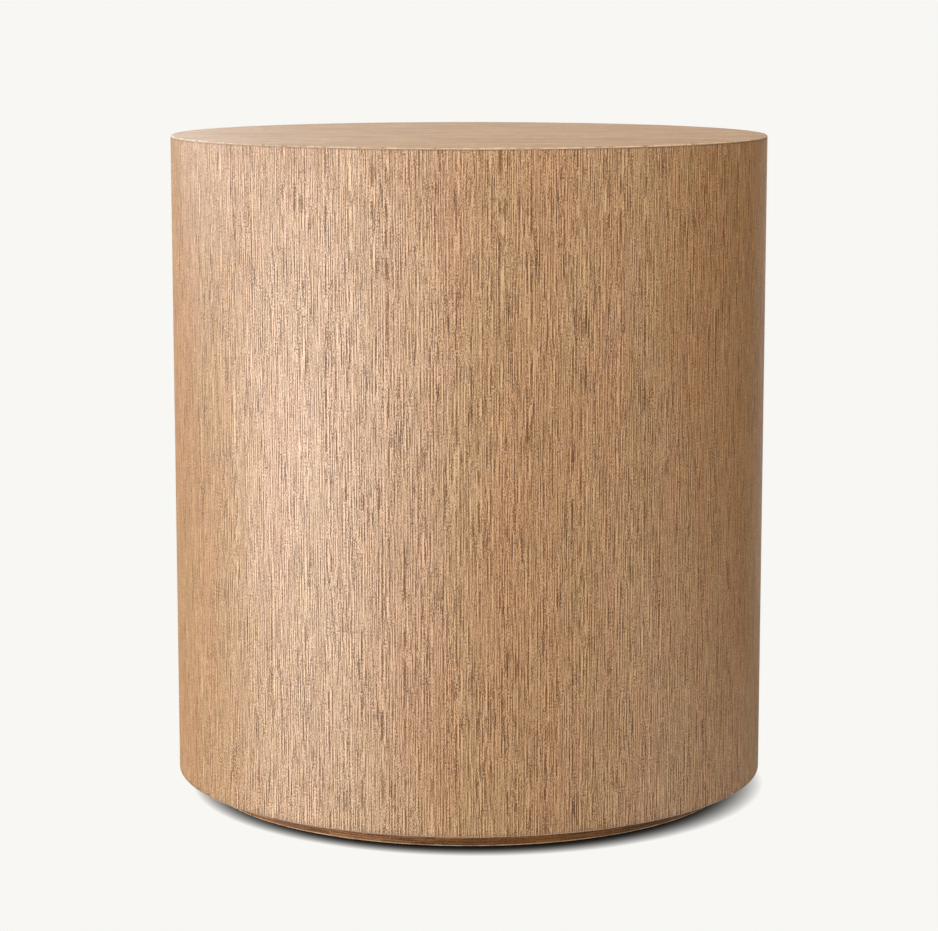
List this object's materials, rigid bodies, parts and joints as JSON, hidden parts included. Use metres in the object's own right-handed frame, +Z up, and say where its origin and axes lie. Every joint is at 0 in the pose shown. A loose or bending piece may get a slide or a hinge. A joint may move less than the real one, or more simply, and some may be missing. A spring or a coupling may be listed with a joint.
{
  "type": "drum side table",
  "caption": "Round drum side table: upright-grain oak veneer wall on a bent plywood carcass, flat veneered top with an eased rim, dark recessed base on screw levellers.",
  "frame": {"origin": "on the floor under the middle of the table, level with the soles of the feet", "axes": "+Z up along the drum's axis, X along the grain of the top, -Y towards the picture's camera"},
  "size_m": [0.4572, 0.4572, 0.508],
  "materials": {
    "oak_veneer": "wire-brushed, matt lacquer",
    "dark_oak": "brown stain, matt",
    "stained_plywood": "dark stain",
    "bending_plywood": "raw",
    "panel_plywood": "raw",
    "stud_softwood": "planed",
    "zinc_steel": "zinc plated",
    "nylon": "moulded, fine texture"
  },
  "bodies": {
    "table": {"side_veneer_leaf_01": "oak_veneer", "side_veneer_leaf_02": "oak_veneer", "side_veneer_leaf_03": "oak_veneer", "side_veneer_leaf_04": "oak_veneer", "side_veneer_leaf_05": "oak_veneer", "side_veneer_leaf_06": "oak_veneer", "side_veneer_leaf_07": "oak_veneer", "side_veneer_leaf_08": "oak_veneer", "side_veneer_leaf_09": "oak_veneer", "side_veneer_leaf_10": "oak_veneer", "side_veneer_leaf_11": "oak_veneer", "side_veneer_leaf_12": "oak_veneer", "top_veneer_leaf_1": "oak_veneer", "top_veneer_leaf_2": "oak_veneer", "top_veneer_leaf_3": "oak_veneer", "top_veneer_leaf_4": "oak_veneer", "top_veneer_leaf_5": "oak_veneer", "outer_skin_left": "bending_plywood", "outer_skin_right": "bending_plywood", "inner_skin_front": "bending_plywood", "inner_skin_back": "bending_plywood", "bottom_ring": "panel_plywood", "middle_ring": "panel_plywood", "top_ring": "panel_plywood", "top_panel": "panel_plywood", "bottom_panel": "panel_plywood", "stud_1": "stud_softwood", "stud_2": "stud_softwood", "stud_3": "stud_softwood", "stud_4": "stud_softwood", "stud_5": "stud_softwood", "stud_6": "stud_softwood", "base_board": "stained_plywood", "base_edge_band": "dark_oak", "top_panel_screws": "zinc_steel", "bottom_panel_screws": "zinc_steel", "base_screws": "zinc_steel", "tee_nuts": "zinc_steel"},
    "foot_1": {"leveller_foot_1": "nylon"},
    "stem_1": {"leveller_stem_1": "zinc_steel"},
    "foot_2": {"leveller_foot_2": "nylon"},
    "stem_2": {"leveller_stem_2": "zinc_steel"},
    "foot_3": {"leveller_foot_3": "nylon"},
    "stem_3": {"leveller_stem_3": "zinc_steel"},
    "foot_4": {"leveller_foot_4": "nylon"},
    "stem_4": {"leveller_stem_4": "zinc_steel"}
  },
  "joints": [
    {"name": "foot_1_lift", "type": "slide", "parent": "table", "child": "foot_1", "axis": [0, 0, -1], "range_m": [0, 0.0101]},
    {"name": "stem_1_turn", "type": "hinge", "parent": "foot_1", "child": "stem_1", "pos_m": [0.10871, 0.10871, 0.0036], "axis": [0, 0, -1], "range_deg": [0, 2880]},
    {"name": "foot_2_lift", "type": "slide", "parent": "table", "child": "foot_2", "axis": [0, 0, -1], "range_m": [0, 0.0101]},
    {"name": "stem_2_turn", "type": "hinge", "parent": "foot_2", "child": "stem_2", "pos_m": [-0.10871, 0.10871, 0.0036], "axis": [0, 0, -1], "range_deg": [0, 2880]},
    {"name": "foot_3_lift", "type": "slide", "parent": "table", "child": "foot_3", "axis": [0, 0, -1], "range_m": [0, 0.0101]},
    {"name": "stem_3_turn", "type": "hinge", "parent": "foot_3", "child": "stem_3", "pos_m": [-0.10871, -0.10871, 0.0036], "axis": [0, 0, -1], "range_deg": [0, 2880]},
    {"name": "foot_4_lift", "type": "slide", "parent": "table", "child": "foot_4", "axis": [0, 0, -1], "range_m": [0, 0.0101]},
    {"name": "stem_4_turn", "type": "hinge", "parent": "foot_4", "child": "stem_4", "pos_m": [0.10871, -0.10871, 0.0036], "axis": [0, 0, -1], "range_deg": [0, 2880]}
  ],
  "couplings": [
    {"joint": "foot_1_lift", "follows": "stem_1_turn", "m_per_rad": 0.00019894},
    {"joint": "foot_2_lift", "follows": "stem_2_turn", "m_per_rad": 0.00019894},
    {"joint": "foot_3_lift", "follows": "stem_3_turn", "m_per_rad": 0.00019894},
    {"joint": "foot_4_lift", "follows": "stem_4_turn", "m_per_rad": 0.00019894}
  ]
}
